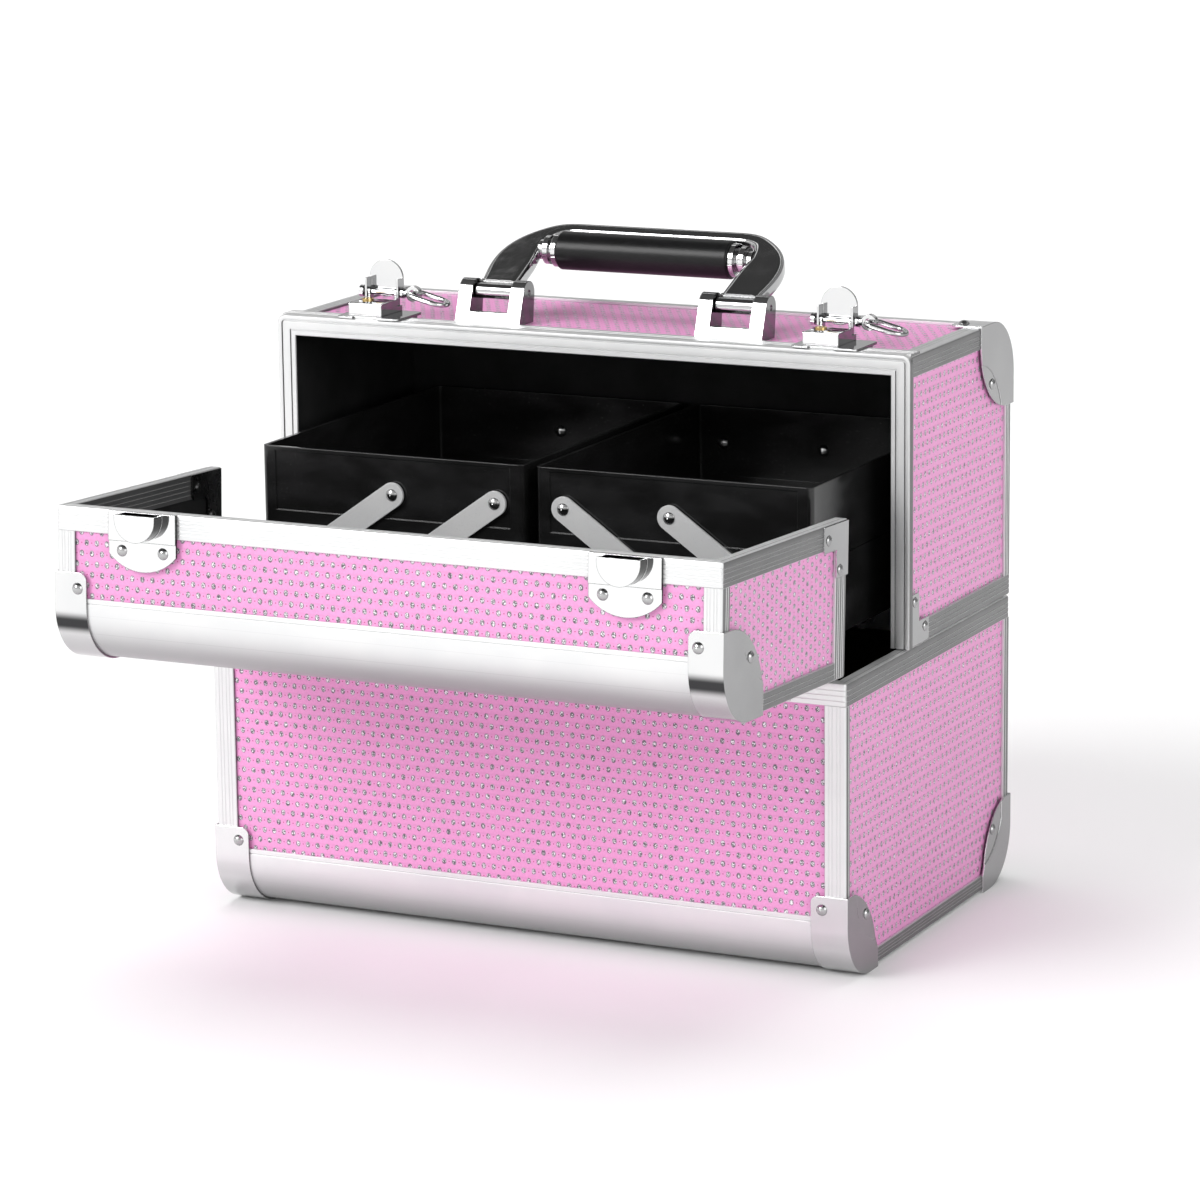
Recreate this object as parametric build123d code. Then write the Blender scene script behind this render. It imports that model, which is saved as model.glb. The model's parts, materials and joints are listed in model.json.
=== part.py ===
from build123d import *
import math
import os

# Aluminium-framed makeup train case with a split lid, cantilever trays and two latches.
# Millimetres. X to the right, Y to the rear, Z up. The origin is the middle of the underside.
# Rest state: front lid swung down to the front, rear lid shut, handle laid back, latches undone.

# ---- Driving dimensions ----
WIDTH = 360.0           # across the aluminium rails
DEPTH = 225.0           # front to rear across the rails
BASE_Z = 1.0            # underside of the rails, held off the table by the corner caps
BOX_TOP = 154.8         # top of the lower box's rim
LID_TOP = 305.0         # top of both lids when shut
REAR_LID_BASE = 155.4
FRONT_LID_BASE = 157.0
REAR_LID_FRONT = -33.0  # front plane of the rear lid's frame
FRONT_LID_REAR = -33.6  # rim of the front lid when shut
EDGE_R = 29.0           # outer radius of the rounded edge profiles
PROFILE_H = 33.0        # how far a rounded profile reaches up the wall
SKIN = 1.5              # aluminium wall
PANEL = 4.0             # glitter-faced wall board
LINING = 1.0            # velvet-faced inner sheet
CAP_T = 1.0             # pressed steel of the corner caps
LID_OPEN_ANGLE = 87.4   # front lid's swing from shut to its stop

RIM_H = 11.8            # height of the box's rim rail
POST_W = 12.0           # width of corner posts on the front and back
RAIL_W = 12.5           # width of lid rails
CAP_REACH = 44.5        # how far a box cap reaches up the front
LID_CAP_REACH = 46.0    # how far a lid cap reaches along both walls
RIVET_R = 3.0
RIVET_H = 1.8

PIN_R = 1.5             # hinge pins, handle pins and lever axles
KNUCKLE_R = 2.2         # barrel of the lid hinges
RUN = 0.06              # radial clearance of a pin in a turning hole
HINGE_REACH = 300.0     # length of each lid hinge
KNUCKLES = 11

TRAY_FRONT, TRAY_REAR = -98.0, 100.0
TRAY_INNER_X, TRAY_OUTER_X = 3.3, 155.6
TRAY_H = 40.2
TRAY_WALL = 2.0
UPPER_TRAY_Z = 208.4
TIER_PITCH = 40.6       # upper trays sit this far above the lower ones
ARM_ANGLE = 35.0        # tray arms above the horizontal at rest
ARM_W, ARM_T = 13.0, 1.5
UPPER_ARM_X = (78.5, 19.5)  # outer and inner arm pivots on an upper tray
LOWER_ARM_X = (100.0, 41.0)     # the same for the arms under a lower tray
PIVOT_DROP = 20.6       # upper-arm pivots below a tray's rim
LOWER_PIVOT_Z = 178.2   # lower-arm pivots on the lower trays
SHANK_R = 1.95
SHANK_RUN = 0.05

HANDLE_X = 69.5         # middle of each handle bracket
PIN_Y, PIN_Z = 5.5, 319.5
HANDLE_TILT = 66.0      # handle laid back from upright
GRIP_REACH = 43.0       # grip axis from the handle pins
GRIP_R = 10.2
GRIP_HALF = 50.0
BRACKET_HALF = 19.0
EAR_W = 7.8

LATCH_X = 130.5
LEVER_Y, LEVER_Z = -7.0, 317.5
FRAME_PROUD = 1.5       # rear lid's front frame stands this far out of its rails
FRAME_SIDE = 4.0        # how far that frame wraps back over the sides

HALF_W, HALF_D = WIDTH / 2, DEPTH / 2
WALL = SKIN + PANEL
INNER = WALL + LINING
ARM_LEN = TIER_PITCH / math.sin(math.radians(ARM_ANGLE))
ARM_DX = ARM_LEN * math.cos(math.radians(ARM_ANGLE))
FRONT_HINGE = (-HALF_D - KNUCKLE_R, FRONT_LID_BASE - 0.1)
REAR_HINGE = (HALF_D + KNUCKLE_R, (BOX_TOP + REAR_LID_BASE) / 2)
SIDES = (-1, 1)


# ---- Small helpers ----
def block(x, y, z):
    """A box between two ends on each axis."""
    size = [abs(end[1] - end[0]) for end in (x, y, z)]
    middle = [(end[0] + end[1]) / 2 for end in (x, y, z)]
    return Pos(*middle) * Box(*size)


def both(shape):
    """A shape and its mirror image on the other side of the case."""
    return [shape, mirror(shape, about=Plane.YZ)]


def rounded_section(y, z, corners, radius):
    """A rectangle in the YZ plane with some of its corners rounded."""
    face = Pos((y[0] + y[1]) / 2, (z[0] + z[1]) / 2) * Rectangle(y[1] - y[0], z[1] - z[0])
    picked = [face.vertices().sort_by_distance(Vector(*corner, 0))[0] for corner in corners]
    return fillet(picked, radius)


def prism(section, x):
    """A YZ section run along X between two ends."""
    return extrude(Plane.YZ.offset(x[0]) * section, amount=x[1] - x[0])


def rod(radius, start, end):
    """A round bar from one point to another."""
    run = Vector(*end) - Vector(*start)
    return extrude(Plane(origin=start, z_dir=run) * Circle(radius), amount=run.length)


def dome(point, normal, radius=RIVET_R, height=RIVET_H):
    """A domed rivet head standing on a face."""
    ball_r = (radius**2 + height**2) / (2 * height)
    above = Pos(0, 0, ball_r) * Box(4 * ball_r, 4 * ball_r, 2 * ball_r)
    head = Pos(0, 0, height - ball_r) * Sphere(ball_r) & above
    return Plane(origin=point, z_dir=normal) * head


def solids_of(shapes):
    """Every separate solid in a list of shapes."""
    found = []
    for shape in shapes:
        found += shape.solids()
    return found


def save(name, shapes, color):
    part = Compound(children=solids_of(shapes))
    part.label = name
    part.color = Color(*color)
    export_step(part, f"parts/{name}.step")


ALUMINIUM = (0.80, 0.81, 0.82)
CHROME = (0.70, 0.71, 0.73)
PINK = (0.91, 0.60, 0.80)
BLACK = (0.05, 0.05, 0.05)
BRASS = (0.80, 0.62, 0.28)


# ---- Corner caps ----
def box_cap_outline():
    """Side plate of a box cap, from the front plane (y = 0) and the underside (z = 0)."""
    top = Polyline((-CAP_T, CAP_REACH), (8, CAP_REACH))
    bulge = ThreePointArc((8, CAP_REACH), (27, 33), (36.5, 13))
    return top + bulge + Polyline((36.5, 13), (39, 8.3), (39, -CAP_T), (-CAP_T, -CAP_T), (-CAP_T, CAP_REACH))


def lid_cap_outline():
    """Side plate of a lid cap: a quarter round reaching evenly along both edges."""
    reach, bulge_r = LID_CAP_REACH, 38.5
    flat = reach - bulge_r
    middle = flat + bulge_r * math.sin(math.radians(45))
    top = Polyline((-CAP_T, reach), (flat, reach))
    bulge = ThreePointArc((flat, reach), (middle, middle), (reach, flat))
    return top + bulge + Polyline((reach, flat), (reach, -CAP_T), (-CAP_T, -CAP_T), (-CAP_T, reach))


def corner_cap(outline, width, reach_y, reach_z, lens):
    """A cap at a corner whose faces are x = 0, y = 0 and z = 0, with the case at x < 0, y > 0, z > 0."""
    outer = rounded_section((-CAP_T, reach_y), (-CAP_T, reach_z), [(-CAP_T, -CAP_T)], EDGE_R + CAP_T)
    inner = rounded_section((0, reach_y + 9), (0, reach_z + 9), [(0, 0)], EDGE_R)
    band = prism(outer - inner, (-width, 0))
    tips = band.edges().filter_by(lambda edge: edge.length < 1.01 and abs(edge.center().X + width) < 0.01)
    band = fillet(tips, 4)
    side = prism(make_face(outline) & outer, (0, CAP_T))
    sunk = Pos(CAP_T + 0.1, lens, lens + 4) * Rot(0, 90, 0) * Cylinder(36.3, 1.0)
    return band + side - (sunk & block((CAP_T - 0.4, CAP_T + 1), (12, 60), (10, 60)))


def box_cap():
    return corner_cap(box_cap_outline(), 19.0, 39.0, CAP_REACH, 45)


def lid_cap():
    return corner_cap(lid_cap_outline(), 17.0, LID_CAP_REACH, LID_CAP_REACH, 51)


def box_cap_rivets():
    """The two rivets of a box cap, in the cap's own corner."""
    return [dome((-13, -CAP_T, 37.4), (0, -1, 0)), dome((CAP_T - 0.4, 24.5, 30.5), (1, 0, 0))]


def lid_cap_rivets():
    """The three rivets of a lid cap: one on each strip and one on the side plate."""
    faces = [dome((-12, -CAP_T, 38), (0, -1, 0)), dome((-12, 38, -CAP_T), (0, 0, -1))]
    return faces + [dome((CAP_T - 0.4, 29.5, 31.5), (1, 0, 0))]


def to_box_front(shape):
    return Pos(HALF_W, -HALF_D, BASE_Z) * shape


def to_lid_front(shape):
    return Pos(HALF_W, -HALF_D, LID_TOP) * mirror(shape, about=Plane.XY)


def to_lid_rear(shape):
    return mirror(to_lid_front(shape), about=Plane.XZ)


# ---- Lower box ----
def box_section(inset, top=BOX_TOP):
    """Front-to-rear section of the lower box, inset from its outer faces."""
    y = HALF_D - inset
    z = BASE_Z + inset
    return rounded_section((-y, y), (z, top), [(-y, z), (y, z)], EDGE_R - inset)


def box_wrap():
    """The aluminium layer over the box's front, underside and back."""
    return prism(box_section(0) - box_section(SKIN, BOX_TOP + 1), (-HALF_W, HALF_W))


def box_side_skin():
    """The aluminium layer over the box's right side."""
    return prism(box_section(SKIN), (HALF_W - SKIN, HALF_W))


def box_edge_profiles():
    wrap = box_wrap()
    front = block((-HALF_W, HALF_W), (-HALF_D, EDGE_R - HALF_D + 2), (0, PROFILE_H))
    return [wrap & front, wrap & mirror(front, about=Plane.XZ)]


def box_frame_rails():
    """Four corner posts and the rails under the two sides."""
    wrap, skin = box_wrap(), box_side_skin()
    rails = []
    for y_side, leg in ((-1, 4.5), (1, 7.5)):
        y = (y_side * (HALF_D - leg), y_side * HALF_D)
        face = wrap & block((HALF_W - POST_W, HALF_W), y, (PROFILE_H, BOX_TOP - RIM_H))
        edge = skin & block((0, HALF_W), y, (PROFILE_H, BOX_TOP - RIM_H))
        rails += both(face + edge)
    flat = HALF_D - EDGE_R - 2.2
    under = block((HALF_W - POST_W, HALF_W), (-flat, flat), (BASE_Z, BASE_Z + SKIN))
    beside = block((HALF_W - SKIN, HALF_W), (-flat, flat), (BASE_Z, 9.3))
    return rails + both(under + beside)


def box_rim_frame():
    """The rail round the top of the box, with a lip over the board and the lining."""
    band = block((-HALF_W, HALF_W), (-HALF_D, HALF_D), (BOX_TOP - RIM_H, BOX_TOP))
    band = fillet(band.edges().filter_by(Axis.Z), 2.5)
    inside = block((SKIN - HALF_W, HALF_W - SKIN), (SKIN - HALF_D, HALF_D - SKIN), (0, BOX_TOP - SKIN))
    lip_x, lip_y = HALF_W - INNER - 0.5, HALF_D - INNER - 0.5
    rim = band - inside - block((-lip_x, lip_x), (-lip_y, lip_y), (0, BOX_TOP + 1))
    for z in (BOX_TOP - 3.0, BOX_TOP - 8.8):
        groove = block((-HALF_W - 1, HALF_W + 1), (-HALF_D - 1, HALF_D + 1), (z - 0.4, z + 0.4))
        core = block((0.5 - HALF_W, HALF_W - 0.5), (0.5 - HALF_D, HALF_D - 0.5), (z - 1, z + 1))
        rim -= groove - core
    return [rim]


def box_wall_panels():
    """Front, back and two side boards."""
    top = BOX_TOP - SKIN
    inner_y = HALF_D - WALL
    front = block((WALL - HALF_W, HALF_W - WALL), (-HALF_D + SKIN, -inner_y), (BASE_Z + EDGE_R, top))
    side = prism(box_section(SKIN, top), (HALF_W - WALL, HALF_W - SKIN))
    return [front, mirror(front, about=Plane.XZ)] + both(side)


def base_panel():
    """Bottom board with a thicker middle that stands level with the caps."""
    y = HALF_D - EDGE_R
    board = block((WALL - HALF_W, HALF_W - WALL), (-y, y), (BASE_Z + SKIN, BASE_Z + WALL))
    return [board + block((17 - HALF_W, HALF_W - 17), (14.5 - y, y - 14.5), (0, BASE_Z + SKIN))]


def box_lining():
    """Velvet-faced tub inside the lower box."""
    top = BOX_TOP - SKIN
    outside = prism(box_section(WALL, top), (WALL - HALF_W, HALF_W - WALL))
    inside = prism(box_section(INNER, top + 1), (INNER - HALF_W, HALF_W - INNER))
    return [outside - inside]


def box_caps():
    front = both(to_box_front(box_cap()))
    return front + [mirror(cap, about=Plane.XZ) for cap in front]


def box_rivets():
    rivets = []
    for head in box_cap_rivets():
        front = both(to_box_front(head))
        rivets += front + [mirror(rivet, about=Plane.XZ) for rivet in front]
    return rivets + base_pivot_rivets()


# ---- Lid hinges ----
def hinge_knuckles(pivot, first):
    """Every second knuckle of a hinge barrel, bored for its pin."""
    pitch = HINGE_REACH / KNUCKLES
    knuckles = []
    for index in range(first, KNUCKLES, 2):
        x = -HINGE_REACH / 2 + index * pitch
        barrel = rod(KNUCKLE_R, (x + 0.2, *pivot), (x + pitch - 0.2, *pivot))
        knuckles.append(barrel)
    return knuckles


def hinge_leaf(pivot, face_y, reach_z, first):
    """One leaf of a hinge: a strip on the case wall with its knuckles and notches for the others'."""
    out = 0.9 if pivot[0] > 0 else -0.9
    half = HINGE_REACH / 2
    leaf = block((-half, half), (face_y, face_y + out), (pivot[1], reach_z))
    for other in hinge_knuckles(pivot, 1 - first):
        reach = other.bounding_box()
        leaf -= block((reach.min.X - 0.2, reach.max.X + 0.2), (face_y - 6, face_y + 6),
                      (pivot[1] - KNUCKLE_R - 0.4, pivot[1] + KNUCKLE_R + 0.4))
    for own in hinge_knuckles(pivot, first):
        leaf += own
    return leaf - rod(PIN_R + RUN, (-half - 5, *pivot), (half + 5, *pivot))


def box_hinge_leaves():
    front = hinge_leaf(FRONT_HINGE, -HALF_D, BOX_TOP - RIM_H + 1, 0)
    rear = hinge_leaf(REAR_HINGE, HALF_D, BOX_TOP - RIM_H + 1, 0)
    half = HINGE_REACH / 2 - 1
    pins = [rod(PIN_R, (-half, *pivot), (half, *pivot)) for pivot in (FRONT_HINGE, REAR_HINGE)]
    return [front, rear], pins


# ---- Lid shells, modelled shut ----
def lid_section(front, rear, base, inset, rounded):
    """Front-to-rear section of a lid, inset from its outer faces, with one rounded top edge."""
    top = LID_TOP - inset
    if rounded < 0:
        y = (front + inset, rear)
        corner = (front + inset, top)
    else:
        y = (front, rear - inset)
        corner = (rear - inset, top)
    return rounded_section(y, (base, top), [corner], EDGE_R - inset)


def front_lid_section(inset, grow=0.0):
    return lid_section(-HALF_D, FRONT_LID_REAR + grow, FRONT_LID_BASE - grow, inset, -1)


def rear_lid_section(inset, grow=0.0):
    return lid_section(REAR_LID_FRONT + 2.0 - grow, HALF_D, REAR_LID_BASE - grow, inset, 1)


def open_front_lid(shapes):
    """Swing shut front-lid pieces down about the front hinge to their rest place."""
    pivot = Location((0, *FRONT_HINGE))
    swing = pivot * Rot(LID_OPEN_ANGLE, 0, 0) * pivot.inverse()
    return [swing * shape for shape in solids_of(shapes)]


def front_lid_frame():
    """Rails round the front lid: rim, top sides, lower front and corner posts."""
    wrap = prism(front_lid_section(0) - front_lid_section(SKIN, 5), (-HALF_W, HALF_W))
    skin = prism(front_lid_section(SKIN), (HALF_W - SKIN, HALF_W))
    rim_y = (FRONT_LID_REAR - RAIL_W, FRONT_LID_REAR)
    wide, tall = (-HALF_W, HALF_W), (FRONT_LID_BASE, LID_TOP)
    lip = block((INNER + 0.5 - HALF_W, HALF_W - INNER - 0.5), (-200, 200), (0, LID_TOP - INNER - 0.5))
    rim = wrap & block(wide, rim_y, tall)
    for side in both(skin & block((0, HALF_W), rim_y, tall)):
        rim += side
    outline = prism(front_lid_section(SKIN), (SKIN - HALF_W, HALF_W - SKIN))
    rim += outline & block(wide, (FRONT_LID_REAR - SKIN, FRONT_LID_REAR), tall) - lip
    low_z = (FRONT_LID_BASE, FRONT_LID_BASE + 13.5)
    low_y = (-HALF_D, rim_y[0])
    low = wrap & block(wide, low_y, low_z)
    for side in both(skin & block((0, HALF_W), low_y, low_z)):
        low += side
    under = outline & block(wide, low_y, (FRONT_LID_BASE, FRONT_LID_BASE + SKIN))
    inside = HALF_W - INNER - 0.5
    low += under - block((-inside, inside), (-HALF_D + INNER + 0.5, 0), (0, LID_TOP))
    post_z = (low_z[1], LID_TOP - PROFILE_H)
    post = wrap & block((HALF_W - 10, HALF_W), (-HALF_D, 0), post_z)
    post += skin & block((0, HALF_W), (-HALF_D, -HALF_D + 9.2), post_z)
    top_y = (-HALF_D + PROFILE_H, rim_y[0])
    rail = wrap & block((HALF_W - 10, HALF_W), top_y, (LID_TOP - SKIN, LID_TOP))
    rail += skin & block((0, HALF_W), top_y, (LID_TOP - 8, LID_TOP))
    return [rim, low] + both(post) + both(rail)


def front_lid_edge_profile():
    wrap = prism(front_lid_section(0) - front_lid_section(SKIN, 5), (-HALF_W, HALF_W))
    reach = block((-HALF_W, HALF_W), (-HALF_D, -HALF_D + PROFILE_H), (LID_TOP - PROFILE_H, LID_TOP))
    return [wrap & reach]


def front_lid_panels():
    """Roof, front and two side boards."""
    y = (-HALF_D + EDGE_R, FRONT_LID_REAR - SKIN)
    roof = block((WALL - HALF_W, HALF_W - WALL), y, (LID_TOP - WALL, LID_TOP - SKIN))
    z = (FRONT_LID_BASE + SKIN, LID_TOP - EDGE_R)
    front = block((WALL - HALF_W, HALF_W - WALL), (-HALF_D + SKIN, -HALF_D + WALL), z)
    side = prism(front_lid_section(SKIN, -SKIN), (HALF_W - WALL, HALF_W - SKIN))
    return [roof, front] + both(side)


def front_lid_lining():
    outside = prism(front_lid_section(WALL, -SKIN), (WALL - HALF_W, HALF_W - WALL))
    return [outside - prism(front_lid_section(INNER, 5), (INNER - HALF_W, HALF_W - INNER))]


def corner_bracket(wide, tall, leg_w, leg_h, thick=0.8):
    """A flat L-shaped corner plate in the YZ plane, its corner at the origin, legs towards +Y and +Z."""
    plate = block((0, thick), (0, wide), (0, leg_h)) + block((0, thick), (0, leg_w), (0, tall))
    return fillet(plate.edges().filter_by(Axis.X).group_by(SortBy.DISTANCE)[-1], 2.0)


def front_lid_brackets():
    """Corner plates outside the lid where its lower rail meets its rim."""
    plate = mirror(corner_bracket(27, 30, 13, 14), about=Plane.XZ)
    return both(Pos(HALF_W, FRONT_LID_REAR - 0.4, FRONT_LID_BASE + 0.4) * plate)


def front_lid_rivets():
    rivets = []
    for head in lid_cap_rivets():
        rivets += both(to_lid_front(head))
    for y, z in ((-7.5, 24.8), (-23.7, 10.3)):
        point = (HALF_W + 0.8, FRONT_LID_REAR + y, FRONT_LID_BASE + z)
        rivets += both(dome(point, (1, 0, 0), 2.8, 1.5))
    for x in (-LATCH_X, LATCH_X):
        for side in SIDES:
            rivets.append(dome((x + side * 11.6, CATCH_Y - 1.4, LID_TOP + 1.2), (0, 0, 1)))
    return rivets


CATCH_Y = FRONT_LID_REAR - 18.4


def lid_catch():
    """A chrome catch plate with a hollow D-shaped cup, lying on a roof at z = 0, open towards +Y."""
    half, thick = 19.0, 1.2
    edge = Polyline((-half, -3), (-half, 18.2), (half, 18.2), (half, -3))
    plate = extrude(make_face(edge + ThreePointArc((-half, -3), (0, -11.5), (half, -3))), amount=thick)
    step = block((-half, half), (3.4, 18.2), (thick, thick + 0.6))
    cup_r, wall, top = 11.4, 1.1, 9.0
    bowl = extrude(cup_outline(cup_r), amount=top)
    floor = thick + 0.6
    hollow = extrude(Pos(0, 0, floor) * cup_outline(cup_r - wall), amount=top - wall - floor)
    return plate + step + bowl - hollow


def cup_outline(radius):
    """A D-shaped cup seen from above, its flat mouth towards +Y."""
    mouth = 17.5
    straight = mouth - 2.0
    line = Polyline((-radius, straight), (-radius, mouth), (radius, mouth), (radius, straight))
    return make_face(line + ThreePointArc((-radius, straight), (0, straight - radius), (radius, straight)))


def lid_catches():
    return [Pos(x, CATCH_Y, LID_TOP) * lid_catch() for x in (-LATCH_X, LATCH_X)]


def front_hinge_leaf():
    return [hinge_leaf(FRONT_HINGE, -HALF_D, FRONT_LID_BASE + 12, 1)]


# ---- Rear lid ----
def rear_lid_front_frame():
    """The mitred aluminium frame round the rear lid's open front, a little proud of the rails."""
    half = HALF_W + FRAME_PROUD
    top = LID_TOP + FRAME_PROUD
    y = (REAR_LID_FRONT, REAR_LID_FRONT + 16)
    outer = block((-half, half), y, (REAR_LID_BASE, top))
    outer = fillet(outer.edges().filter_by(Axis.Y).group_by(Axis.Z)[-1], 5)
    opening = block((11 - half, half - 11), (y[0] - 1, y[1] + 1), (0, top - 11))
    behind = block((-HALF_W, HALF_W), (y[0] + 2, y[1] + 1), (0, LID_TOP))
    sides_back = block((-half - 1, half + 1), (y[0] + FRAME_SIDE, y[1] + 1), (0, LID_TOP - 0.01))
    frame = outer - opening - behind - sides_back
    for inset in (2.6, 8.2):
        ring = block((inset - half, half - inset), (y[0] - 1, y[0] + 0.5), (0, top - inset))
        inner = inset + 0.6
        frame -= ring - block((inner - half, half - inner), (y[0] - 2, y[0] + 2), (0, top - inner))
    return [frame]


def rear_lid_frame():
    """Rails round the rear lid: lower, top sides, rear posts and roof edges."""
    wrap = prism(rear_lid_section(0) - rear_lid_section(SKIN, 5), (-HALF_W, HALF_W))
    skin = prism(rear_lid_section(SKIN), (HALF_W - SKIN, HALF_W))
    front = REAR_LID_FRONT + 2
    low_z = (REAR_LID_BASE, REAR_LID_BASE + 11.1)
    low = wrap & block((-HALF_W, HALF_W), (0, HALF_D), low_z)
    for side in both(skin & block((0, HALF_W), (front, HALF_D), low_z)):
        low += side
    core = prism(rear_lid_section(SKIN), (SKIN - HALF_W, HALF_W - SKIN))
    under = core & block((-HALF_W, HALF_W), (front, HALF_D), (REAR_LID_BASE, REAR_LID_BASE + SKIN))
    hollow = block((INNER + 0.5 - HALF_W, HALF_W - INNER - 0.5), (-200, HALF_D - INNER - 0.5), (0, 200))
    low += under - hollow
    post_z = (low_z[1], LID_TOP - PROFILE_H)
    post = wrap & block((HALF_W - POST_W, HALF_W), (0, HALF_D), post_z)
    post += skin & block((0, HALF_W), (HALF_D - 7.5, HALF_D), post_z)
    top_y = (front, HALF_D - PROFILE_H)
    rail = wrap & block((HALF_W - 10, HALF_W), top_y, (LID_TOP - SKIN, LID_TOP))
    rail += skin & block((0, HALF_W), top_y, (LID_TOP - 11.2, LID_TOP))
    return [low] + both(post) + both(rail)


def rear_lid_edge_profile():
    wrap = prism(rear_lid_section(0) - rear_lid_section(SKIN, 5), (-HALF_W, HALF_W))
    reach = block((-HALF_W, HALF_W), (HALF_D - PROFILE_H, HALF_D), (LID_TOP - PROFILE_H, LID_TOP))
    return [wrap & reach]


def rear_lid_panels():
    """Roof, back and two side boards."""
    y = (REAR_LID_FRONT + 2, HALF_D - EDGE_R)
    roof = block((WALL - HALF_W, HALF_W - WALL), y, (LID_TOP - WALL, LID_TOP - SKIN))
    z = (REAR_LID_BASE + SKIN, LID_TOP - EDGE_R)
    back = block((WALL - HALF_W, HALF_W - WALL), (HALF_D - WALL, HALF_D - SKIN), z)
    section = lid_section(REAR_LID_FRONT + 2, HALF_D, REAR_LID_BASE + SKIN, SKIN, 1)
    return [roof, back] + both(prism(section, (HALF_W - WALL, HALF_W - SKIN)))


def rear_lid_lining():
    section = lid_section(REAR_LID_FRONT + 2, HALF_D, REAR_LID_BASE + SKIN, WALL, 1)
    outside = prism(section, (WALL - HALF_W, HALF_W - WALL))
    return [outside - prism(rear_lid_section(INNER, 5), (INNER - HALF_W, HALF_W - INNER))]


def rear_lid_brackets():
    """Corner plates outside the lid where its lower rail meets its front frame."""
    place = (HALF_W, REAR_LID_FRONT + FRAME_SIDE + 0.2, REAR_LID_BASE + 0.4)
    return both(Pos(*place) * corner_bracket(23, 27, 10, 12))


def rear_lid_rivets():
    rivets = []
    for head in lid_cap_rivets():
        rivets += both(to_lid_rear(head))
    for y, z in ((22.5, 8.0), (8.6, 23.0)):
        rivets += both(dome((HALF_W + 0.8, REAR_LID_FRONT + y, REAR_LID_BASE + z), (1, 0, 0), 2.8, 1.5))
    return rivets


def rear_hinge_leaf():
    return [hinge_leaf(REAR_HINGE, HALF_D, REAR_LID_BASE + 12, 1)]


# ---- Carrying handle ----
def handle_bracket(x):
    """A clevis with a sloping front, two round-topped ears, a floor and a front bar."""
    roof = LID_TOP - SKIN
    base_y = (PIN_Y - 12.5, PIN_Y + 4.5)
    slope = make_face(Polyline((base_y[0], roof), (base_y[1], roof), (PIN_Y + 6.4, PIN_Z),
                               (PIN_Y - 5.8, PIN_Z + 2.8), (base_y[0], roof)))
    side = slope + Pos(PIN_Y, PIN_Z) * Circle(6.4)
    ears = prism(side, (x - BRACKET_HALF, x + BRACKET_HALF))
    gap = (x - BRACKET_HALF + EAR_W, x + BRACKET_HALF - EAR_W)
    ears -= block(gap, (-40, 40), (LID_TOP + 2.5, LID_TOP + 40))
    bar = prism(slope, gap) & block(gap, (base_y[0] - 1, base_y[0] + 4), (roof, LID_TOP + 4.5))
    return ears + bar - rod(PIN_R + RUN, (x - 30, PIN_Y, PIN_Z), (x + 30, PIN_Y, PIN_Z))


def handle_brackets():
    return [handle_bracket(x) for x in (-HANDLE_X, HANDLE_X)]


def handle_pins():
    reach = BRACKET_HALF - 1.0
    return [rod(PIN_R, (x - reach, PIN_Y, PIN_Z), (x + reach, PIN_Y, PIN_Z)) for x in (-HANDLE_X, HANDLE_X)]


def handle_plane():
    """The handle's own plane: X across, Y from the pins out to the grip."""
    lean = math.radians(HANDLE_TILT)
    return Plane(origin=(0, PIN_Y, PIN_Z), x_dir=(1, 0, 0), z_dir=(0, -math.cos(lean), math.sin(lean)))


def handle_bail():
    """One-piece chrome bail: two broad arms that bow outwards and a spine behind the grip."""
    foot = HANDLE_X + BRACKET_HALF - EAR_W - 0.6
    heel = HANDLE_X - BRACKET_HALF + EAR_W + 0.6
    thick = 9.0
    outer = Spline([(foot, 4), (82, 16), (82.5, 31), (76.5, 48), (64.5, 60), (48, 65)],
                   tangents=[(0.1, 1), (-1, 0.05)])
    inner = Spline([(48, 56.5), (58, 52), (60.8, 42), (59.6, 26)], tangents=[(1, -0.1), (-0.1, -1)])
    half = Polyline((0, 56.5), (48, 56.5)) + inner + Polyline((59.6, 26), (heel, 4), (foot, 4))
    arch = make_face(half + outer + Polyline((48, 65), (0, 65), (0, 56.5)))
    arch = extrude(Pos(0, 0, -thick / 2) * arch, amount=thick)
    arch = (arch + mirror(arch, about=Plane.YZ)).clean()
    rims = arch.edges().filter_by(lambda edge: abs(abs(edge.center().Z) - thick / 2) < 0.01)
    arch = fillet(rims.filter_by(lambda edge: edge.center().Y > 4.5), 3.0)
    for side in SIDES:
        barrel = rod(4.2, (side * heel, 0, 0), (side * foot, 0, 0))
        arch += barrel + block((side * heel, side * foot), (0, 6), (-3.6, 3.6))
        arch -= rod(PIN_R + RUN, (side * 40, 0, 0), (side * 100, 0, 0))
    return [handle_plane() * arch]


def grip_core():
    """Turned bar through the grip with a stepped collar at each end."""
    core = rod(4.0, (-62, GRIP_REACH, 0), (62, GRIP_REACH, 0))
    for side in SIDES:
        for radius, start, end in ((9.0, 50.3, 53), (6.2, 53, 55.5), (7.8, 55.5, 58.5), (5.4, 58.5, 62)):
            core += rod(radius, (side * start, GRIP_REACH, 0), (side * end, GRIP_REACH, 0))
    return [handle_plane() * core - handle_bail()[0]]


def handle_grip():
    grip = rod(GRIP_R, (-GRIP_HALF, GRIP_REACH, 0), (GRIP_HALF, GRIP_REACH, 0))
    grip = fillet(grip.edges().filter_by(GeomType.CIRCLE), 1.2)
    return [handle_plane() * (grip - rod(4.0, (-60, GRIP_REACH, 0), (60, GRIP_REACH, 0)))]


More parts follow.
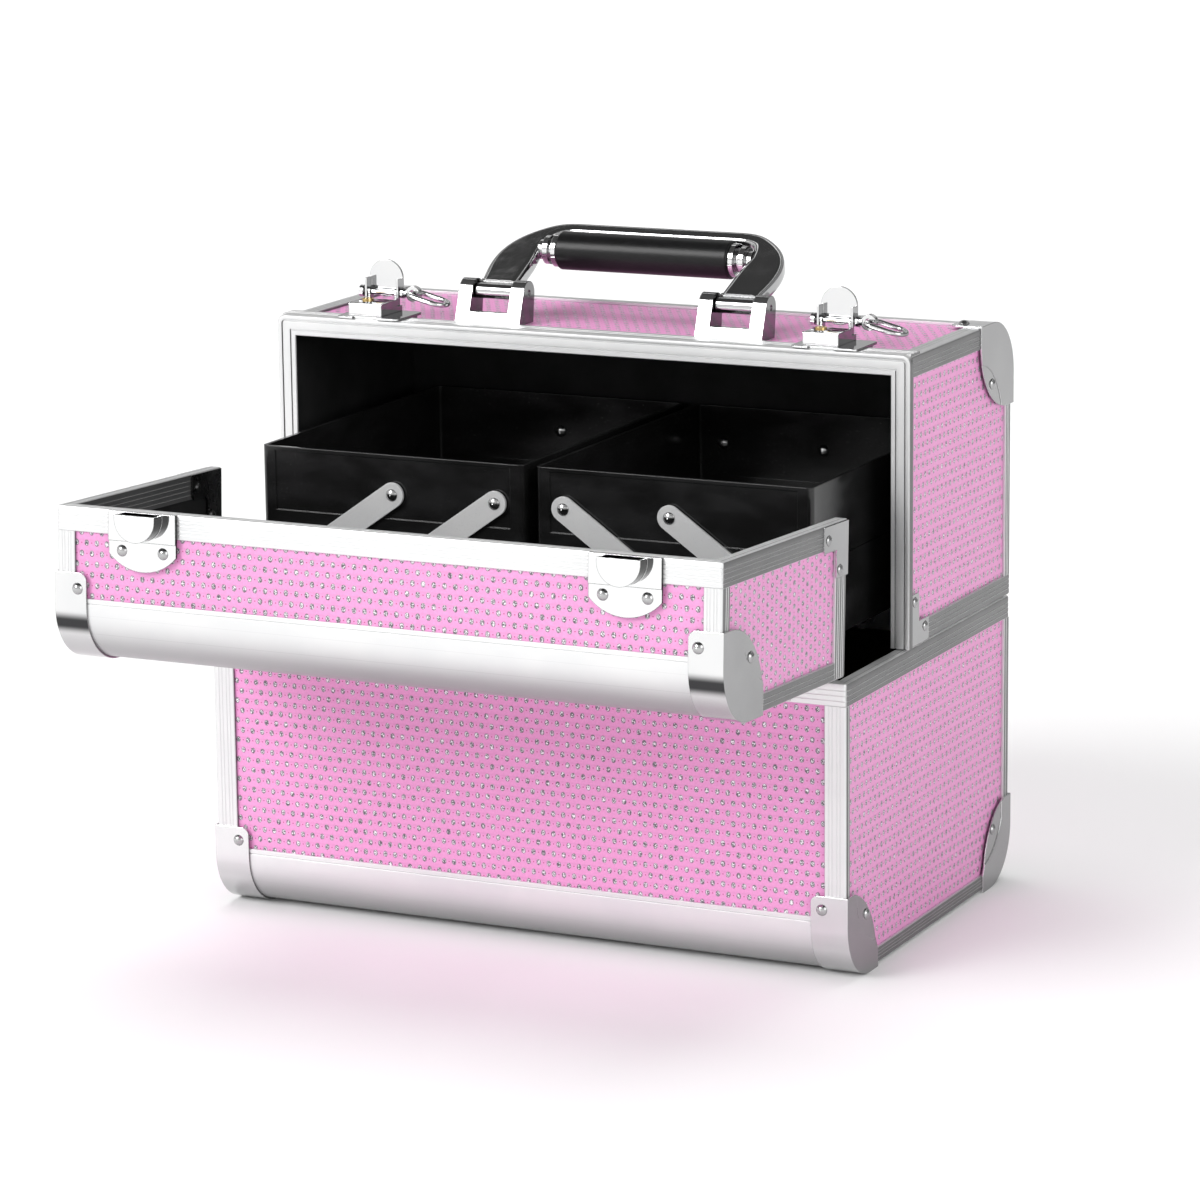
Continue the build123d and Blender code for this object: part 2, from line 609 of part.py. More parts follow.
# ---- Latches ----
def latch_base(x):
    """Chrome base plate, wider to the right for the strap eye, with a notch folded into its front."""
    z = LID_TOP + FRAME_PROUD
    front, rear = REAR_LID_FRONT - 0.4, LEVER_Y + 2.5
    plate = block((x - 14.8, x + 22), (front, rear), (z, z + 1.2))
    plate = fillet(plate.edges().filter_by(Axis.Z), 3)
    plate -= block((x - 5, x + 9), (front - 1, front + 1.6), (z - 1, z + 2))
    feet = block((x - 12, x + 19), (REAR_LID_FRONT + 16.3, rear - 1), (LID_TOP - SKIN, z))
    return plate + feet


def lock_body(x):
    """Box-shaped lock housing on the base plate, with two lugs for the lever's axle."""
    z = LID_TOP + FRAME_PROUD + 1.2
    y = (REAR_LID_FRONT + 4.5, LEVER_Y + 2.0)
    house = block((x - 9.8, x + 9.8), (y[0], LEVER_Y - 3.6), (z, z + 6.6))
    house = fillet(house.edges().filter_by(Axis.X).group_by(Axis.Z)[-1], 0.8)
    floor = block((x - 9.8, x + 9.8), (LEVER_Y - 3.6, y[1]), (z, z + 3.0))
    lugs = []
    for side in SIDES:
        lug = block((x + side * 7.2, x + side * 8.6), (LEVER_Y - 2.0, LEVER_Y + 2.0), (z, LEVER_Z))
        lug += rod(2.4, (x + side * 7.2, LEVER_Y, LEVER_Z), (x + side * 8.6, LEVER_Y, LEVER_Z))
        lugs.append(lug)
    body = house + floor + lugs[0] + lugs[1]
    body -= rod(PIN_R + RUN, (x - 20, LEVER_Y, LEVER_Z), (x + 20, LEVER_Y, LEVER_Z))
    return body - rod(3.0 + RUN, *key_axis(x, z + 2.6, z + 8))


def key_axis(x, low, high):
    """The key cylinder's axis between two heights."""
    return (x - 5.2, -15.5, low), (x - 5.2, -15.5, high)


def key_cylinder(x):
    """Brass key cylinder with a keyway across its top."""
    z = LID_TOP + FRAME_PROUD + 1.2
    plug = rod(3.0, *key_axis(x, z + 2.8, z + 7.4))
    return [plug - block((x - 5.7, x - 4.7), (-17.6, -13.4), (z + 6.2, z + 8))]


def latch_lever(x):
    """Upright chrome thumb lever: a round-topped plate with side flanges bored for the axle."""
    half, thick, top = 10.0, 1.3, 17.0
    face = Pos(x, LEVER_Z + top - half) * Circle(half) + Pos(x, LEVER_Z + 3) * Rectangle(2 * half, 8)
    back = LEVER_Y + 2.8
    lever = extrude(Plane.XZ.offset(-back) * face, amount=-thick)
    for side in SIDES:
        sheet = (x + side * (half - 1.2), x + side * half)
        lever += block(sheet, (LEVER_Y - 2.7, back), (LEVER_Z - 2.7, LEVER_Z + 7.5))
    return [lever - rod(PIN_R + RUN, (x - 20, LEVER_Y, LEVER_Z), (x + 20, LEVER_Y, LEVER_Z))]


def lever_axle(x):
    """Axle with a screw head on its left and a strap eye on its right."""
    axle = rod(PIN_R, (x - 12, LEVER_Y, LEVER_Z), (x + 17, LEVER_Y, LEVER_Z))
    axle += rod(3.2, (x - 13.6, LEVER_Y, LEVER_Z), (x - 11.2, LEVER_Y, LEVER_Z))
    axle -= block((x - 14, x - 13), (LEVER_Y - 4, LEVER_Y + 4), (LEVER_Z - 0.4, LEVER_Z + 0.4))
    axle += rod(2.8, (x + 11, LEVER_Y, LEVER_Z), (x + 12.6, LEVER_Y, LEVER_Z))
    axle += rod(2.2, (x + 12.6, LEVER_Y, LEVER_Z), (x + 14.6, LEVER_Y, LEVER_Z))
    eye = rod(4.2, (x + 18, LEVER_Y - 1.6, LEVER_Z), (x + 18, LEVER_Y + 1.6, LEVER_Z))
    return axle + eye - rod(2.0, (x + 18, LEVER_Y - 5, LEVER_Z), (x + 18, LEVER_Y + 5, LEVER_Z))


def strap_ring(x):
    """Oval wire loop through the strap eye, lying out to the right."""
    span, wide, wire = 20.0, 13.0, 1.4
    outline = Pos(span / 2, 0) * Rectangle(span, wide)
    outline = fillet(outline.vertices().group_by(Axis.X)[0], 3.0)
    outline = fillet(outline.vertices().group_by(Axis.X)[-1], wide / 2 - 0.1)
    path = outline.wires()[0]
    loop = sweep(Plane(origin=path @ 0, z_dir=path % 0) * Circle(wire), path=path)
    return [Pos(x + 18, LEVER_Y, LEVER_Z) * Rot(0, 14, 0) * loop]


# ---- Trays and their arms ----
def tray(side, floor_z):
    """Moulded open tray with rounded corners and a sunk panel in its front and back."""
    x = sorted((side * TRAY_INNER_X, side * TRAY_OUTER_X))
    top = floor_z + TRAY_H
    shell = block(x, (TRAY_FRONT, TRAY_REAR), (floor_z, top))
    shell = fillet(shell.edges().filter_by(Axis.Z), 3.5)
    hollow = block((x[0] + TRAY_WALL, x[1] - TRAY_WALL), (TRAY_FRONT + TRAY_WALL, TRAY_REAR - TRAY_WALL),
                   (floor_z + TRAY_WALL, top + 1))
    shell -= fillet(hollow.edges().filter_by(Axis.Z), 2.0)
    panel_x, panel_z = (x[0] + 8, x[1] - 8), (floor_z + 6.8, top - 2)
    shell -= block(panel_x, (TRAY_FRONT - 1, TRAY_FRONT + 0.6), panel_z)
    shell -= block(panel_x, (TRAY_REAR - 0.6, TRAY_REAR + 1), panel_z)
    return shell


def tray_pivots(side, upper):
    """Each pivot's x and z on a tray, with the depth order of the arm it carries."""
    drop_z = UPPER_TRAY_Z + TRAY_H - PIVOT_DROP
    if upper:
        return [(side * x, drop_z, 0) for x in UPPER_ARM_X]
    pivots = [(side * (x + ARM_DX), drop_z - TIER_PITCH, 0) for x in UPPER_ARM_X]
    return pivots + [(side * x, LOWER_PIVOT_Z, 1) for x in LOWER_ARM_X]


def arm_faces(order, end):
    """Inner and outer face of an arm at the front (-1) or rear (1) end, in its depth order."""
    wall = TRAY_FRONT if end < 0 else TRAY_REAR
    near = wall + end * (0.3 + order * (ARM_T + 0.3))
    return near, near + end * ARM_T


def pivot_rivet(x, z, order, end):
    """A shouldered rivet from inside a tray wall through an arm, domed on both ends."""
    wall = TRAY_FRONT if end < 0 else TRAY_REAR
    near, far = arm_faces(order, end)
    tip = far + end * 0.25
    inside = wall - end * TRAY_WALL
    rivet = rod(SHANK_R, (x, inside, z), (x, tip, z))
    rivet += dome((x, inside, z), (0, -end, 0), 3.2, 1.5)
    rivet += dome((x, tip, z), (0, end, 0), 3.2, 1.3)
    sunk = wall - end * 0.6
    return rivet + rod(3.4, (x, sunk, z), (x, near - end * 0.15, z))


def tray_rivets(side, upper):
    return [pivot_rivet(x, z, order, end) for x, z, order in tray_pivots(side, upper) for end in SIDES]


def bored_tray(side, upper):
    floor_z = UPPER_TRAY_Z if upper else UPPER_TRAY_Z - TIER_PITCH
    shell = tray(side, floor_z)
    for x, z, _order in tray_pivots(side, upper):
        shell -= rod(SHANK_R + SHANK_RUN, (x, TRAY_FRONT - 5, z), (x, TRAY_REAR + 5, z))
    return [shell]


def tray_arms(side, index, upper):
    """The front and rear arm on one pivot line, from the lower pivot up and inwards."""
    top_x = side * (UPPER_ARM_X if upper else LOWER_ARM_X)[index]
    top_z = UPPER_TRAY_Z + TRAY_H - PIVOT_DROP if upper else LOWER_PIVOT_Z
    low_x, low_z = top_x + side * ARM_DX, top_z - TIER_PITCH
    middle = ((top_x + low_x) / 2, (top_z + low_z) / 2)
    slope = -side * ARM_ANGLE
    bar = Pos(*middle) * Rot(0, 0, slope) * SlotCenterToCenter(ARM_LEN, ARM_W)
    for x, z in ((top_x, top_z), (low_x, low_z)):
        bar -= Pos(x, z) * Circle(SHANK_R + SHANK_RUN)
    arms = []
    for end in SIDES:
        near, far = arm_faces(0 if upper else 1, end)
        arms.append(extrude(Plane.XZ.offset(-max(near, far)) * bar, amount=ARM_T))
    return arms


def base_pivots():
    return [(side * (x + ARM_DX), LOWER_PIVOT_Z - TIER_PITCH) for side in SIDES for x in LOWER_ARM_X]


BASE_RAIL_T = 1.6


def arm_base_rails():
    """Flat strips on the lining inside the box's front and back, which carry the lowest arms."""
    rails = []
    for end in SIDES:
        wall = end * (HALF_D - INNER)
        z = LOWER_PIVOT_Z - TIER_PITCH
        rail = block((-170, 170), (wall - end * BASE_RAIL_T, wall), (z - 6.5, z + 6.5))
        for x, pivot_z in base_pivots():
            rail -= rod(SHANK_R + SHANK_RUN, (x, wall - 5, pivot_z), (x, wall + 5, pivot_z))
        rails.append(rail)
    return rails


def base_pivot_rivets():
    """Rivets from the base strips through the lowest arms."""
    rivets = []
    for end in SIDES:
        wall = end * (HALF_D - INNER)
        near, far = arm_faces(1, end)
        for x, z in base_pivots():
            tip = near - end * 0.25
            rivet = rod(SHANK_R, (x, wall, z), (x, tip, z))
            rivet += rod(3.4, (x, wall - end * BASE_RAIL_T, z), (x, far + end * 0.2, z))
            rivets.append(rivet + dome((x, tip, z), (0, -end, 0), 3.2, 1.3))
    return rivets


# ---- Write every sub-part ----
def write_box():
    leaves, pins = box_hinge_leaves()
    save("base_panel", base_panel(), PINK)
    save("box_wall_panels", box_wall_panels(), PINK)
    save("box_rim_frame", box_rim_frame(), ALUMINIUM)
    save("box_frame_rails", box_frame_rails(), ALUMINIUM)
    save("box_edge_profiles", box_edge_profiles(), ALUMINIUM)
    save("box_corner_caps", box_caps(), CHROME)
    save("box_lining", box_lining(), BLACK)
    save("box_rivets", box_rivets(), CHROME)
    save("arm_base_rails", arm_base_rails(), ALUMINIUM)
    save("box_hinge_leaves", leaves, CHROME)
    save("hinge_pins", pins, CHROME)


def write_front_lid():
    pieces = {
        "front_lid_panels": (front_lid_panels(), PINK),
        "front_lid_frame": (front_lid_frame(), ALUMINIUM),
        "front_lid_edge_profile": (front_lid_edge_profile(), ALUMINIUM),
        "front_lid_caps": (both(to_lid_front(lid_cap())), CHROME),
        "front_lid_brackets": (front_lid_brackets(), CHROME),
        "front_lid_lining": (front_lid_lining(), BLACK),
        "front_lid_rivets": (front_lid_rivets(), CHROME),
        "lid_catches": (lid_catches(), CHROME),
        "front_hinge_lid_leaf": (front_hinge_leaf(), CHROME),
    }
    for name, (shapes, color) in pieces.items():
        save(name, open_front_lid(shapes), color)


def write_rear_lid():
    save("rear_lid_panels", rear_lid_panels(), PINK)
    save("rear_lid_front_frame", rear_lid_front_frame(), ALUMINIUM)
    save("rear_lid_frame", rear_lid_frame(), ALUMINIUM)
    save("rear_lid_edge_profile", rear_lid_edge_profile(), ALUMINIUM)
    save("rear_lid_caps", both(to_lid_rear(lid_cap())), CHROME)
    save("rear_lid_brackets", rear_lid_brackets(), CHROME)
    save("rear_lid_lining", rear_lid_lining(), BLACK)
    save("rear_lid_rivets", rear_lid_rivets(), CHROME)
    save("rear_hinge_lid_leaf", rear_hinge_leaf(), CHROME)
    save("handle_brackets", handle_brackets(), CHROME)
    save("handle_pins", handle_pins(), CHROME)
    save("handle_bail", handle_bail(), CHROME)
    save("grip_core", grip_core(), CHROME)
    save("handle_grip", handle_grip(), BLACK)


def write_latches():
    places = {"left": -LATCH_X, "right": LATCH_X}
    save("latch_bases", [latch_base(x) for x in places.values()], CHROME)
    save("lock_bodies", [lock_body(x) for x in places.values()], CHROME)
    save("lever_axles", [lever_axle(x) for x in places.values()], CHROME)
    for name, x in places.items():
        save(f"latch_lever_{name}", latch_lever(x), CHROME)
        save(f"key_cylinder_{name}", key_cylinder(x), BRASS)
        save(f"strap_ring_{name}", strap_ring(x), CHROME)


def write_trays():
    for name, side in (("left", -1), ("right", 1)):
        for tier in ("lower", "upper"):
            upper = tier == "upper"
            save(f"tray_{tier}_{name}", bored_tray(side, upper), BLACK)
            save(f"tray_rivets_{tier}_{name}", tray_rivets(side, upper), CHROME)
            for index, place in enumerate(("outer", "inner")):
                save(f"arms_{tier}_{name}_{place}", tray_arms(side, index, upper), ALUMINIUM)


os.makedirs("parts", exist_ok=True)
write_box()
write_front_lid()
write_rear_lid()
write_latches()
write_trays()
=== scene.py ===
import bmesh
import bpy
import json
import math
from mathutils import Matrix, Vector

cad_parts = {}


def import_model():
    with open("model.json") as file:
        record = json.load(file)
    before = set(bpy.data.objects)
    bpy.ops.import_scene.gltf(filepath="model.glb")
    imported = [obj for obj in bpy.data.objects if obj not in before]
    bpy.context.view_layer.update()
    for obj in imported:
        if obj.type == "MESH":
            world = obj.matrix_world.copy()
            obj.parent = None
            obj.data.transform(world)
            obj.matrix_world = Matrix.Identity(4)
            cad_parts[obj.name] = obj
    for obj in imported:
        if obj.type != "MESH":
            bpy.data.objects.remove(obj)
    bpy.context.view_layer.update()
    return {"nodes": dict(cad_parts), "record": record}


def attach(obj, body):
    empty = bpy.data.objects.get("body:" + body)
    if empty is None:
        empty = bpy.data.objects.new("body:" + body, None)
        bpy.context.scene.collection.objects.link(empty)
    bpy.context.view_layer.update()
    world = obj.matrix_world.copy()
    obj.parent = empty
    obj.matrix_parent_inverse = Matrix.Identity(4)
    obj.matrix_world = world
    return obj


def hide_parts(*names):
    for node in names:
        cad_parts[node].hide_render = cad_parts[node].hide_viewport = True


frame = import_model()
nodes = frame["nodes"]

MM = 0.001
SIDES = (-1, 1)

# The case, in millimetres
HALF_W, HALF_D = 180.0, 112.5
LID_TOP = 305.0
EDGE_STEP = 33.0                    # the rounded edge profiles reach this far from each corner
CAP_START = 79.5                    # the corner caps begin here, front to rear
PROFILE_START = LID_TOP - EDGE_STEP
BOX_RIM = (143.0, 154.8)
REAR_LID_RAIL = (155.4, 166.5)
FRONT_LID_RAIL = (157.0, 170.5)
REAR_LID_FRONT = -33.0
FRONT_LID_REAR = -33.6
FRONT_LID_RIM = -46.1
METAL = 1.4                         # thickness of the rails
CORNER_R = 1.4                      # and the radius of their corners

# The front lid is drawn shut, then swung open about its hinge
LID_ANGLE = 87.4
HINGE = Vector((0.0, -114.7, 156.9))
LID_TURN = Matrix.Rotation(math.radians(LID_ANGLE), 4, "X")
LID_SWING = Matrix.Translation(HINGE) @ LID_TURN @ Matrix.Translation(-HINGE)
NO_SWING = Matrix.Identity(4)


# ---------------------------------------------------------------- node helpers
def grey(value, blue=1.0):
    """A grey, slightly cold where blue is above 1."""
    return value, value, value * blue, 1


class Nodes:
    """Short ways to add nodes to a node tree."""

    def __init__(self, tree):
        self.tree = tree

    def add(self, kind, inputs=(), **settings):
        node = self.tree.nodes.new(kind)
        for key, value in settings.items():
            setattr(node, key, value)
        for key, value in dict(inputs).items():
            self.put(node.inputs[key], value)
        return node

    def put(self, socket, value):
        if isinstance(value, bpy.types.NodeSocket):
            self.tree.links.new(value, socket)
        else:
            socket.default_value = value

    def math(self, operation, a, b=0.0):
        node = self.add("ShaderNodeMath", {0: a, 1: b}, operation=operation)
        return node.outputs[0]

    def mix(self, factor, a, b):
        """A colour between a and b."""
        node = self.add("ShaderNodeMix", data_type="RGBA", clamp_factor=True)
        for socket, value in (("Factor", factor), (6, a), (7, b)):
            self.put(node.inputs[socket], value)
        return node.outputs[2]

    def blend(self, factor, a, b):
        """A number between a and b."""
        node = self.add("ShaderNodeMix", data_type="FLOAT", clamp_factor=True)
        for socket, value in (("Factor", factor), (2, a), (3, b)):
            self.put(node.inputs[socket], value)
        return node.outputs[0]

    def step(self, value, low, high, out_low=0.0, out_high=1.0):
        """A smooth ramp from out_low at low to out_high at high."""
        limits = {"From Min": low, "From Max": high, "To Min": out_low, "To Max": out_high}
        node = self.add("ShaderNodeMapRange", {"Value": value, **limits}, interpolation_type="SMOOTHSTEP")
        return node.outputs[0]

    def coords(self, scale=(1, 1, 1), swing=0.0):
        """Object coordinates in millimetres, turned back by swing degrees about X."""
        place = self.add("ShaderNodeTexCoord").outputs["Object"]
        scale = tuple(1000 * s for s in scale)
        turn = self.add("ShaderNodeMapping", {"Vector": place, "Rotation": (math.radians(-swing), 0, 0)})
        return self.add("ShaderNodeMapping", {"Vector": turn.outputs[0], "Scale": scale}).outputs[0]

    def length(self, a, b):
        """The length of the vector (a, b)."""
        squares = self.math("ADD", self.math("POWER", a, 2.0), self.math("POWER", b, 2.0))
        return self.math("SQRT", squares)

    def noise(self, vector, scale, detail=2.0, rough=0.5):
        inputs = {"Vector": vector, "Scale": scale, "Detail": detail, "Roughness": rough}
        return self.add("ShaderNodeTexNoise", inputs).outputs["Fac"]

    def bump(self, height, distance, strength=1.0, under=None):
        inputs = {"Height": height, "Distance": distance * MM, "Strength": strength}
        if under is not None:
            inputs["Normal"] = under
        return self.add("ShaderNodeBump", inputs).outputs[0]

    def soft_edge(self, radius):
        """Normals that round every sharp edge by a small radius."""
        return self.add("ShaderNodeBevel", {"Radius": radius * MM}, samples=6).outputs[0]

    def facing(self, swing=0.0):
        """The x, y and z of a face's direction on the object, turned back by swing degrees about X."""
        normal = self.add("ShaderNodeTexCoord").outputs["Normal"]
        if swing:
            turn = {"Vector": normal, "Rotation": (math.radians(-swing), 0, 0)}
            normal = self.add("ShaderNodeMapping", turn, vector_type="NORMAL").outputs[0]
        return self.add("ShaderNodeSeparateXYZ", {0: normal}).outputs


class Surface(Nodes):
    """A material and its principled shader."""

    def __init__(self, name):
        self.mat = bpy.data.materials.new(name)
        self.mat.use_nodes = True
        super().__init__(self.mat.node_tree)
        self.shader = self.tree.nodes["Principled BSDF"]

    def set(self, **inputs):
        for key, value in inputs.items():
            self.put(self.shader.inputs[key.replace("_", " ")], value)
        return self.mat


# ---------------------------------------------------------------- materials
# painted shade: the near-black of the chrome's painted edge reflections and the caps' painted band
PAINTED_SHADE_BLACK = (0.012, 0.012, 0.014, 1)


def tone_with_painted_shade(s, tone, share, under=0.0, top=0.0):
    """A clouded grey with painted shade: faces turned sideways keep a share of it, and those looking down
    or up lose some.
    """
    facing = s.facing()
    # painted shade: finds the faces turned sideways, which are darkened below
    side_shade_mask = s.step(s.math("ABSOLUTE", facing[0]), 0.55, 0.95)
    cloud = s.step(s.noise(s.coords(), 0.03, 3), 0.3, 0.7)
    light = s.mix(cloud, (tone * 0.95, tone * 0.955, tone * 0.96, 1), grey(tone))
    # painted shade: faces looking down are darkened by under
    if under:
        light = s.mix(s.step(facing[2], -0.05, -0.85), light, grey(tone * (1 - under), 1.01))
    # painted shade: faces looking up are darkened by top
    if top:
        light = s.mix(s.step(facing[2], 0.8, 0.97), light, grey(tone * (1 - top), 1.01))
    # painted shade: sideways faces keep only share of the tone
    dark = s.mix(cloud, grey(tone * share * 0.88, 1.01), grey(tone * share, 1.01))
    return s.mix(side_shade_mask, light, dark)


def satin_aluminium(name, grain=None, tone=0.80, rough=0.42, side=0.25, metallic=0.72, under=0.0):
    """Anodised rail metal with fine drawn lines and rubbed edges; painted shade makes the faces to the side
    darker, and those facing down where under is set.
    """
    s = Surface(name)
    if grain is None:
        rail = s.add("ShaderNodeAttribute", attribute_name="rail").outputs["Vector"]
        drawn = s.add("ShaderNodeMapping", {"Vector": rail, "Scale": (0.0, 1, 1)}).outputs[0]
    else:
        drawn = s.coords(grain)
    lines = s.noise(drawn, 1.6, 2)
    wear = s.noise(s.coords(), 0.35, 4, 0.6)
    # painted shade on sideways faces, set by side, and on downward faces, set by under
    color = tone_with_painted_shade(s, tone, side, under)
    color = s.mix(s.step(lines, 0.40, 0.20, 0.0, 0.22), color, grey(tone * 0.3, 1.03))
    gloss = s.blend(s.step(lines, 0.25, 0.75), rough * 0.92, rough * 1.1)
    gloss = s.blend(s.step(wear, 0.62, 0.75), gloss, rough * 1.2)
    normal = s.bump(lines, 0.02, 0.15, s.soft_edge(0.3) if grain else None)
    return s.set(Base_Color=color, Metallic=metallic, Roughness=gloss, Normal=normal)


def chrome(name, tone=0.80, rough=0.05, edge=0.5, side=0.42, under=0.3, top=0.0, outline=0.6):
    """Bright plating, slightly wavy, smeared and scuffed; painted shade darkens side faces and faces
    looking down or up, and a painted dark reflection runs along edges.
    """
    s = Surface(name)
    smear = s.noise(s.coords(), 0.09, 4, 0.6)
    scuff = s.noise(s.coords((1, 1, 0.2)), 2.5, 5, 0.7)
    gloss = s.blend(s.step(smear, 0.4, 0.75), rough, rough * 2.2)
    gloss = s.blend(s.step(scuff, 0.66, 0.72), gloss, rough * 4)
    rounded = s.soft_edge(edge)
    flat = s.add("ShaderNodeNewGeometry").outputs["Normal"]
    turned = s.add("ShaderNodeVectorMath", {0: rounded, 1: flat}, operation="DOT_PRODUCT").outputs["Value"]
    # painted shade on sideways, downward and upward faces
    color = tone_with_painted_shade(s, tone, side, under, top)
    # painted dark reflection along edges, where the rounded normal turns away from the flat one; outline
    # sets its strength
    color = s.mix(s.step(turned, 0.99, 0.86, 0.0, outline), color, PAINTED_SHADE_BLACK)
    normal = s.bump(smear, 0.15, 0.2, rounded)
    return s.set(Base_Color=color, Metallic=1.0, Roughness=gloss, Normal=normal)


def cap_steel(name, depth):
    """A pressed cap's plating, white above a painted dark reflection band where the bend begins, and grey
    round the bend from painted shade.
    """
    s = Surface(name)
    down = s.facing()[2]
    # painted reflection: a dark band on faces tilting down at the start of the bend; depth sets how dark
    band = s.math("MULTIPLY", s.step(down, -0.03, -0.20), s.step(down, -0.46, -0.30))
    smear = s.noise(s.coords(), 0.09, 4, 0.6)
    # painted shade on sideways and downward faces
    color = tone_with_painted_shade(s, 0.82, 0.40, 0.45)
    color = s.mix(s.math("MULTIPLY", band, depth), color, PAINTED_SHADE_BLACK)
    gloss = s.blend(s.step(smear, 0.4, 0.75), 0.09, 0.17)
    normal = s.bump(smear, 0.12, 0.2, s.soft_edge(0.7))
    return s.set(Base_Color=color, Metallic=0.9, Roughness=gloss, Normal=normal)


def glitter_panel(name, swing=0.0):
    """Pink sheet printed with staggered rows of raised silver glitter dots, tiny deep-pink dots between."""
    pitch, row = 5.75, 5.3
    dot_wide, dot_tall = 1.3, 1.62
    s = Surface(name)
    place = s.add("ShaderNodeSeparateXYZ", {0: s.coords(swing=swing)}).outputs
    facing = s.facing(swing)
    is_side = s.math("GREATER_THAN", s.math("ABSOLUTE", facing[0]), 0.7)
    is_flat = s.math("GREATER_THAN", s.math("ABSOLUTE", facing[2]), 0.7)
    across = s.blend(is_side, place[0], place[1])
    up = s.blend(is_flat, place[2], place[1])
    line = s.math("DIVIDE", up, row)
    odd = s.math("MULTIPLY", s.math("FLOORED_MODULO", s.math("FLOOR", line), 2.0), 0.5)
    along = s.math("ADD", s.math("DIVIDE", across, pitch), odd)
    du = s.math("MULTIPLY", s.math("SUBTRACT", s.math("FRACT", along), 0.5), pitch)
    dv = s.math("MULTIPLY", s.math("SUBTRACT", s.math("FRACT", line), 0.5), row)
    wobble = s.math("MULTIPLY", s.math("SUBTRACT", s.noise(s.coords(), 1.1, 1), 0.5), 0.9)
    ring = s.length(s.math("DIVIDE", du, dot_wide), s.math("DIVIDE", dv, dot_tall))
    ring = s.math("ADD", ring, s.math("MULTIPLY", wobble, 0.35))
    dot = s.step(ring, 1.05, 0.9)
    rim = s.math("MULTIPLY", s.step(ring, 0.55, 0.95), dot)
    half = s.math("SUBTRACT", pitch / 2, s.math("ABSOLUTE", du))
    tiny = s.step(s.length(half, dv), 0.42, 0.26)
    flakes = s.add("ShaderNodeTexVoronoi", {"Vector": s.coords(), "Scale": 2.6}, feature="F1")
    flake = s.add("ShaderNodeSeparateColor", {0: flakes.outputs["Color"]}).outputs[0]
    wave = s.math("ADD", line, s.math("MULTIPLY", wobble, 0.1))
    wave = s.math("SINE", s.math("MULTIPLY", wave, math.tau))
    mottle = s.noise(s.coords(), 0.9, 3, 0.6)
    pink = s.mix(s.step(mottle, 0.3, 0.7), (0.75, 0.30, 0.575, 1), (0.81, 0.345, 0.635, 1))
    # painted shade: the troughs of the ridges between rows are darkened
    pink = s.mix(s.step(wave, -0.6, -1.0, 0.0, 0.22), pink, (0.60, 0.19, 0.42, 1))
    pink = s.mix(tiny, pink, (0.50, 0.05, 0.22, 1))
    silver = s.mix(s.step(flake, 0.50, 0.62), (0.13, 0.12, 0.14, 1), (0.92, 0.90, 0.93, 1))
    silver = s.mix(s.math("MULTIPLY", rim, 0.8), silver, (0.20, 0.11, 0.16, 1))
    color = s.mix(dot, pink, silver)
    height = s.math("MULTIPLY", s.step(ring, 1.2, 0.5), 0.5)
    height = s.math("ADD", height, s.math("MULTIPLY", dot, s.math("MULTIPLY", flake, 0.35)))
    height = s.math("ADD", height, s.math("MULTIPLY", wave, 0.10))
    normal = s.bump(height, 0.35, 0.7)
    normal = s.bump(s.noise(s.coords(), 3.5, 2), 0.05, 0.3, normal)
    metallic = s.math("MULTIPLY", dot, 0.25)
    gloss = s.blend(dot, 0.46, 0.30)
    return s.set(Base_Color=color, Metallic=metallic, Roughness=gloss, Normal=normal)


def velvet(name, tone=0.012):
    """Black napped lining."""
    s = Surface(name)
    nap = s.noise(s.coords(), 1.4, 4, 0.65)
    cloud = s.noise(s.coords(), 0.035, 3)
    color = s.mix(s.step(cloud, 0.3, 0.75), grey(tone * 0.7, 1.03), grey(tone * 1.5, 1.03))
    normal = s.bump(nap, 0.12, 0.6)
    gloss = s.blend(nap, 0.75, 0.92)
    return s.set(Base_Color=color, Roughness=gloss, Normal=normal, Specular_IOR_Level=0.25)


def gloss_plastic(name, tone=0.010, rough=0.16):
    """Moulded black tray: faint flow marks, dust-fine scuffs and a slight orange peel."""
    s = Surface(name)
    flow = s.noise(s.coords((1, 1, 2.5)), 0.035, 3)
    peel = s.noise(s.coords(), 0.5, 2)
    scuff = s.noise(s.coords((0.3, 1, 1)), 1.6, 5, 0.7)
    gloss = s.blend(s.step(flow, 0.35, 0.7), rough, rough * 1.7)
    gloss = s.blend(s.step(scuff, 0.64, 0.74), gloss, rough * 3)
    color = s.mix(s.step(flow, 0.3, 0.7), grey(tone * 0.8), grey(tone * 1.4, 1.03))
    normal = s.bump(peel, 0.06, 0.25, s.soft_edge(0.6))
    return s.set(Base_Color=color, Roughness=gloss, Normal=normal)


def grip_plastic(name):
    """Satin black grip with a very fine drawn texture along it."""
    s = Surface(name)
    grain = s.noise(s.coords((0.15, 1, 1)), 2.0, 3)
    color = s.mix(s.step(grain, 0.3, 0.7), grey(0.004), grey(0.008, 1.1))
    normal = s.bump(grain, 0.06, 0.3, s.soft_edge(0.6))
    gloss = s.blend(grain, 0.26, 0.38)
    return s.set(Base_Color=color, Roughness=gloss, Specular_IOR_Level=0.28, Normal=normal)


def brass(name):
    """Turned brass, tarnished in patches."""
    s = Surface(name)
    tarnish = s.noise(s.coords(), 0.5, 4, 0.6)
    turned = s.noise(s.coords((1, 1, 0.2)), 4.0, 2)
    color = s.mix(s.step(tarnish, 0.35, 0.7), (0.83, 0.62, 0.28, 1), (0.62, 0.42, 0.16, 1))
    normal = s.bump(turned, 0.03, 0.3, s.soft_edge(0.3))
    return s.set(Base_Color=color, Metallic=1.0, Roughness=s.blend(tarnish, 0.16, 0.32), Normal=normal)


